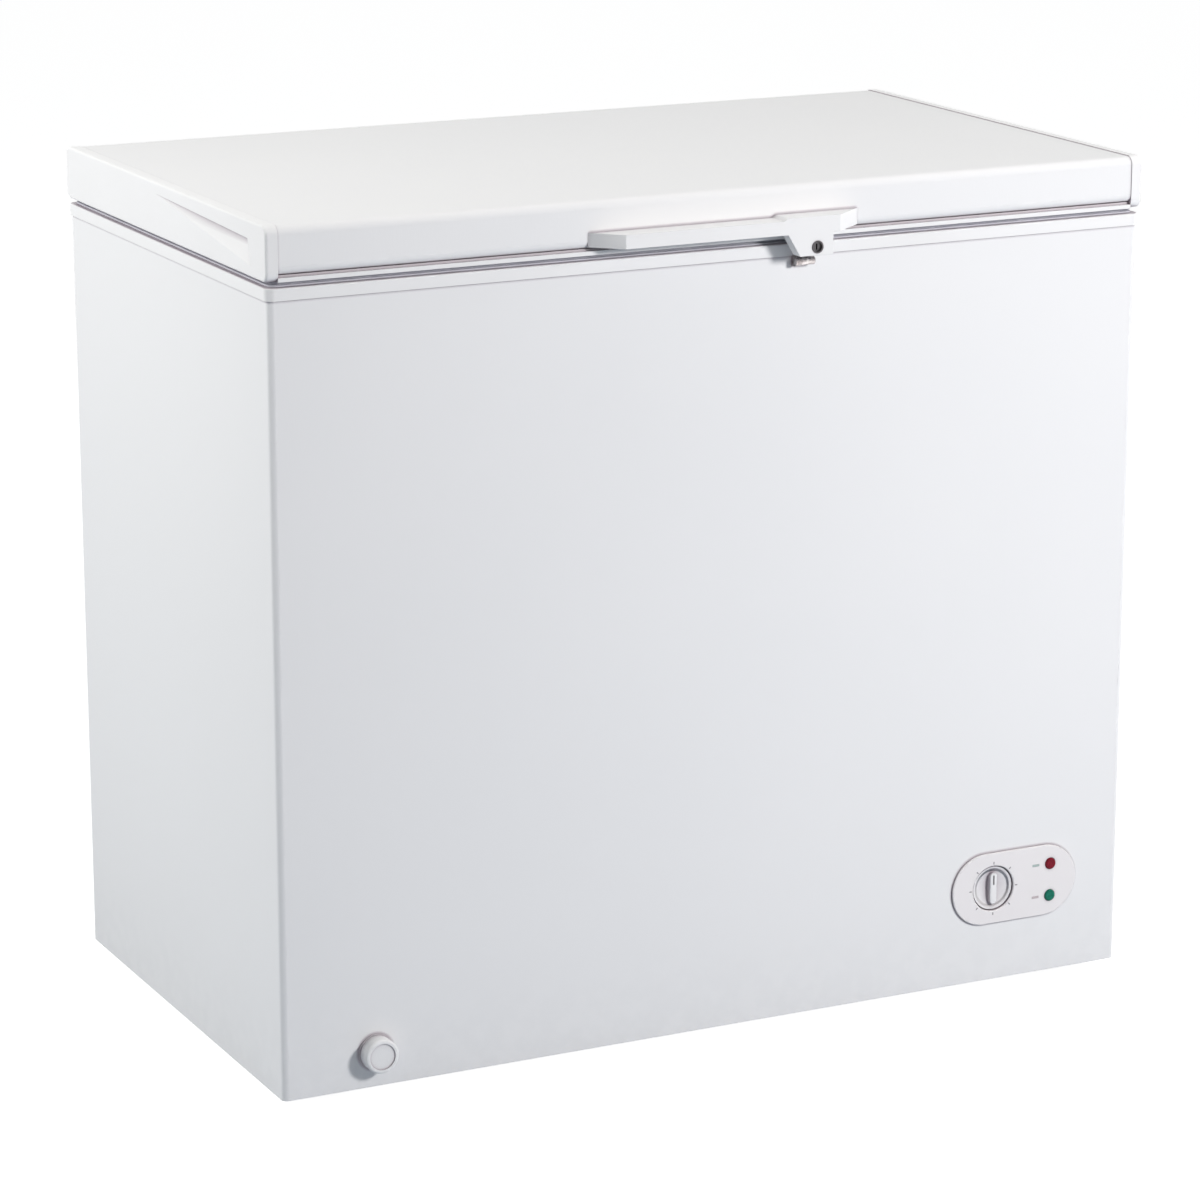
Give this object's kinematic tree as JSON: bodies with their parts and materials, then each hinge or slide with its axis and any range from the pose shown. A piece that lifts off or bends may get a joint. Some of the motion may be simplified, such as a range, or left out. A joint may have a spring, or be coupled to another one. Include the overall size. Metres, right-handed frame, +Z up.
{
  "type": "chest freezer",
  "caption": "White chest freezer with a hinged insulated lid, lock handle, front thermostat panel, drain cap and a hanging wire basket.",
  "frame": {"origin": "on the floor, in the middle of the whole outline", "axes": "+Z up, -Y to the front with the handle and the control panel, +X to the right seen from the front"},
  "size_m": [0.93, 0.5728, 0.85],
  "materials": {
    "cabinet_paint": "white baked enamel with a very fine grain",
    "lid_paint": "smooth white baked enamel",
    "zinc_sheet": "plain galvanised sheet",
    "frame_plastic": "white moulding",
    "cap_plastic": "white moulding",
    "panel_plastic": "white moulding",
    "handle_plastic": "white moulding, fine texture",
    "liner_aluminium": "embossed aluminium sheet",
    "foam": "rigid insulating foam",
    "gasket_rubber": "soft grey extrusion",
    "foot_rubber": "black rubber",
    "bezel_plastic": "warm white moulding",
    "knob_plastic": "white moulding",
    "red_lens": "clear red lens",
    "green_lens": "clear green lens",
    "drain_plastic": "white moulding",
    "vent_plastic": "white moulding",
    "black_plastic": "black moulding",
    "strike_chrome": "bright plated steel",
    "lock_metal": "black plated metal",
    "hinge_steel": "zinc plated steel",
    "spring_steel": "spring wire",
    "compressor_paint": "black enamel",
    "copper": "bare copper",
    "coil_tube": "aluminium tube",
    "condenser_steel": "copper plated steel tube",
    "basket_wire": "white plastic coated wire"
  },
  "bodies": {
    "cabinet": {"cabinet_wrap": "cabinet_paint", "back_panel": "zinc_sheet", "base_pan": "zinc_sheet", "bay_panel": "zinc_sheet", "compressor_tray": "zinc_sheet", "rear_cover": "zinc_sheet", "top_frame": "frame_plastic", "inner_liner": "liner_aluminium", "cabinet_foam": "foam", "feet": "foot_rubber", "rubber_mounts": "foot_rubber", "control_bezel": "bezel_plastic", "red_lamp": "red_lens", "green_lamp": "green_lens", "drain_spout": "drain_plastic", "drain_tube": "drain_plastic", "side_vent": "vent_plastic", "cord_gland": "black_plastic", "relay_box": "black_plastic", "thermostat_body": "black_plastic", "wiring_loom": "black_plastic", "lock_strike": "strike_chrome", "strike_screws": "strike_chrome", "hinge_cabinet_leaves": "hinge_steel", "hinge_pins": "hinge_steel", "hinge_cabinet_rivets": "hinge_steel", "mount_bolts": "hinge_steel", "rear_cover_screws": "hinge_steel", "hinge_springs": "spring_steel", "compressor_lower_shell": "compressor_paint", "compressor_upper_shell": "compressor_paint", "compressor_legs": "compressor_paint", "capillary_tube": "copper", "discharge_tube": "copper", "suction_tube": "copper", "filter_drier": "copper", "sensor_tube": "copper", "evaporator_coil": "coil_tube", "condenser_coil": "condenser_steel"},
    "lid": {"lid_outer_panel": "lid_paint", "lid_end_cap_left": "cap_plastic", "lid_end_cap_right": "cap_plastic", "lid_inner_panel": "panel_plastic", "lid_foam": "foam", "lid_gasket": "gasket_rubber", "handle": "handle_plastic", "lock_barrel": "lock_metal", "hinge_lid_leaves": "hinge_steel", "hinge_lid_rivets": "hinge_steel"},
    "lock": {"lock_plug": "lock_metal", "lock_cam": "hinge_steel"},
    "knob": {"thermostat_knob": "knob_plastic", "thermostat_shaft": "hinge_steel"},
    "drain_cap_body": {"drain_cap": "drain_plastic"},
    "drain_plug_body": {"drain_plug": "drain_plastic"},
    "basket": {"basket_rim": "basket_wire", "basket_rings": "basket_wire", "basket_uprights": "basket_wire", "basket_floor": "basket_wire", "basket_hangers": "basket_wire"}
  },
  "joints": [
    {"name": "lid_hinge", "type": "hinge", "parent": "cabinet", "child": "lid", "pos_m": [0, 0.2781, 0.789], "axis": [-1, 0, 0], "range_deg": [0, 80]},
    {"name": "lock_turn", "type": "hinge", "parent": "lid", "child": "lock", "pos_m": [0.086, -0.2781, 0.7925], "axis": [0, 1, 0], "range_deg": [0, 180]},
    {"name": "knob_turn", "type": "hinge", "parent": "cabinet", "child": "knob", "pos_m": [0.313, -0.2614, 0.113], "axis": [0, 1, 0], "range_deg": [0, 300]},
    {"name": "drain_cap_pull", "type": "slide", "parent": "cabinet", "child": "drain_cap_body", "axis": [0, -1, 0], "range_m": [0, 0.03]},
    {"name": "drain_plug_lift", "type": "slide", "parent": "cabinet", "child": "drain_plug_body", "axis": [0, 0, 1], "range_m": [0, 0.06]},
    {"name": "basket_slide", "type": "slide", "parent": "cabinet", "child": "basket", "axis": [-1, 0, 0], "range_m": [0, 0.578]}
  ]
}
